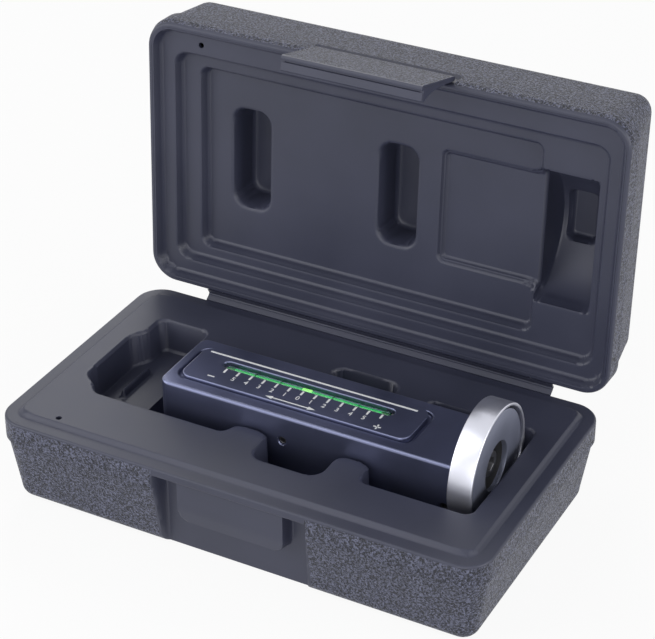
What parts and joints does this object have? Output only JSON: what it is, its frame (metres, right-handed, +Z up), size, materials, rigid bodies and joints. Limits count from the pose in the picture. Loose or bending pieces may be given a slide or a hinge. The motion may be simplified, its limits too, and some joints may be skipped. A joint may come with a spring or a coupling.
{
  "type": "camber caster gauge",
  "caption": "Magnetic wheel alignment gauge with spirit vials and a round magnet, lying in the shaped pocket of an open hinged moulded case with a latch flap.",
  "frame": {"origin": "middle of the case's standing face on the underside of its base", "axes": "+X along the case and the gauge towards the magnet, +Y from the latch side to the hinge side, +Z up"},
  "size_m": [0.202, 0.1552, 0.1638],
  "materials": {
    "case_grain": "coarse moulded grain, bluish charcoal",
    "case_smooth": "smooth moulded, satin, bluish charcoal",
    "navy_enamel": "dark navy satin coating",
    "turned_steel": "turned, satin",
    "screw_steel": "zinc plated",
    "pole_steel": "ground, dark in the reflection",
    "magnet_dark": "ferrite, matt",
    "block_metal": "milled",
    "carrier_white": "moulded",
    "backing_green": "bright green strip",
    "vial_glass": "clear",
    "vial_spirit": "green spirit",
    "bubble_light": "light bubble"
  },
  "bodies": {
    "case": {"base_shell": "case_grain", "base_tray": "case_smooth", "base_hinge_leaf": "case_smooth"},
    "lid": {"lid_shell": "case_grain", "lid_liner": "case_smooth", "lid_hinge_leaf": "case_smooth"},
    "latch": {"latch_flap": "case_smooth"},
    "gauge": {"gauge_housing": "navy_enamel", "end_block": "block_metal", "end_block_screws": "screw_steel", "gauge_foot_plate": "navy_enamel", "foot_plate_screws": "screw_steel", "magnet_cup": "turned_steel", "ring_magnet": "magnet_dark", "pole_ring": "pole_steel", "centre_screw": "screw_steel", "spring_washer": "screw_steel", "camber_plate": "navy_enamel", "caster_plate": "navy_enamel", "caster_carrier": "carrier_white", "caster_carrier_screws": "screw_steel", "caster_backing": "backing_green", "caster_vial_tube": "vial_glass", "caster_vial_plugs": "carrier_white", "caster_vial_fluid": "vial_spirit"},
    "carrier": {"camber_carrier": "carrier_white", "camber_backing": "backing_green", "camber_vial_tube": "vial_glass", "camber_vial_plugs": "carrier_white", "camber_vial_fluid": "vial_spirit"},
    "camber_bubble": {"camber_bubble": "bubble_light"},
    "caster_bubble": {"caster_bubble": "bubble_light"},
    "zero_screw": {"carrier_pivot_screw": "screw_steel"}
  },
  "joints": [
    {"name": "lid_hinge", "type": "hinge", "parent": "case", "child": "lid", "pos_m": [0.002, 0.0589, 0.039], "axis": [-1, 0, 0], "range_deg": [-92.6, 0]},
    {"name": "latch_hinge", "type": "hinge", "parent": "lid", "child": "latch", "pos_m": [0.0005, 0.06619, 0.15549], "axis": [-1, 0, 0], "range_deg": [-12.6, 60]},
    {"name": "gauge_lift", "type": "slide", "parent": "case", "child": "gauge", "axis": [0, 0, 1], "range_m": [0, 0.06]},
    {"name": "zero_screw_turn", "type": "hinge", "parent": "gauge", "child": "zero_screw", "pos_m": [0.002, -0.0005, 0.0366], "axis": [0, 1, 0], "range_deg": [-90, 90]},
    {"name": "carrier_tilt", "type": "hinge", "parent": "gauge", "child": "carrier", "pos_m": [0.002, -0.0005, 0.0366], "axis": [0, 1, 0], "range_deg": [-0.36, 0.36]},
    {"name": "camber_bubble_travel", "type": "slide", "parent": "carrier", "child": "camber_bubble", "axis": [1, 0, 0], "range_m": [-0.027, 0.027], "stiffness_N_per_m": 0.5},
    {"name": "caster_bubble_travel", "type": "slide", "parent": "gauge", "child": "caster_bubble", "axis": [1, 0, 0], "range_m": [-0.027, 0.027], "stiffness_N_per_m": 0.5}
  ],
  "couplings": [
    {"joint": "zero_screw_turn", "follows": "carrier_tilt", "ratio": 250}
  ]
}
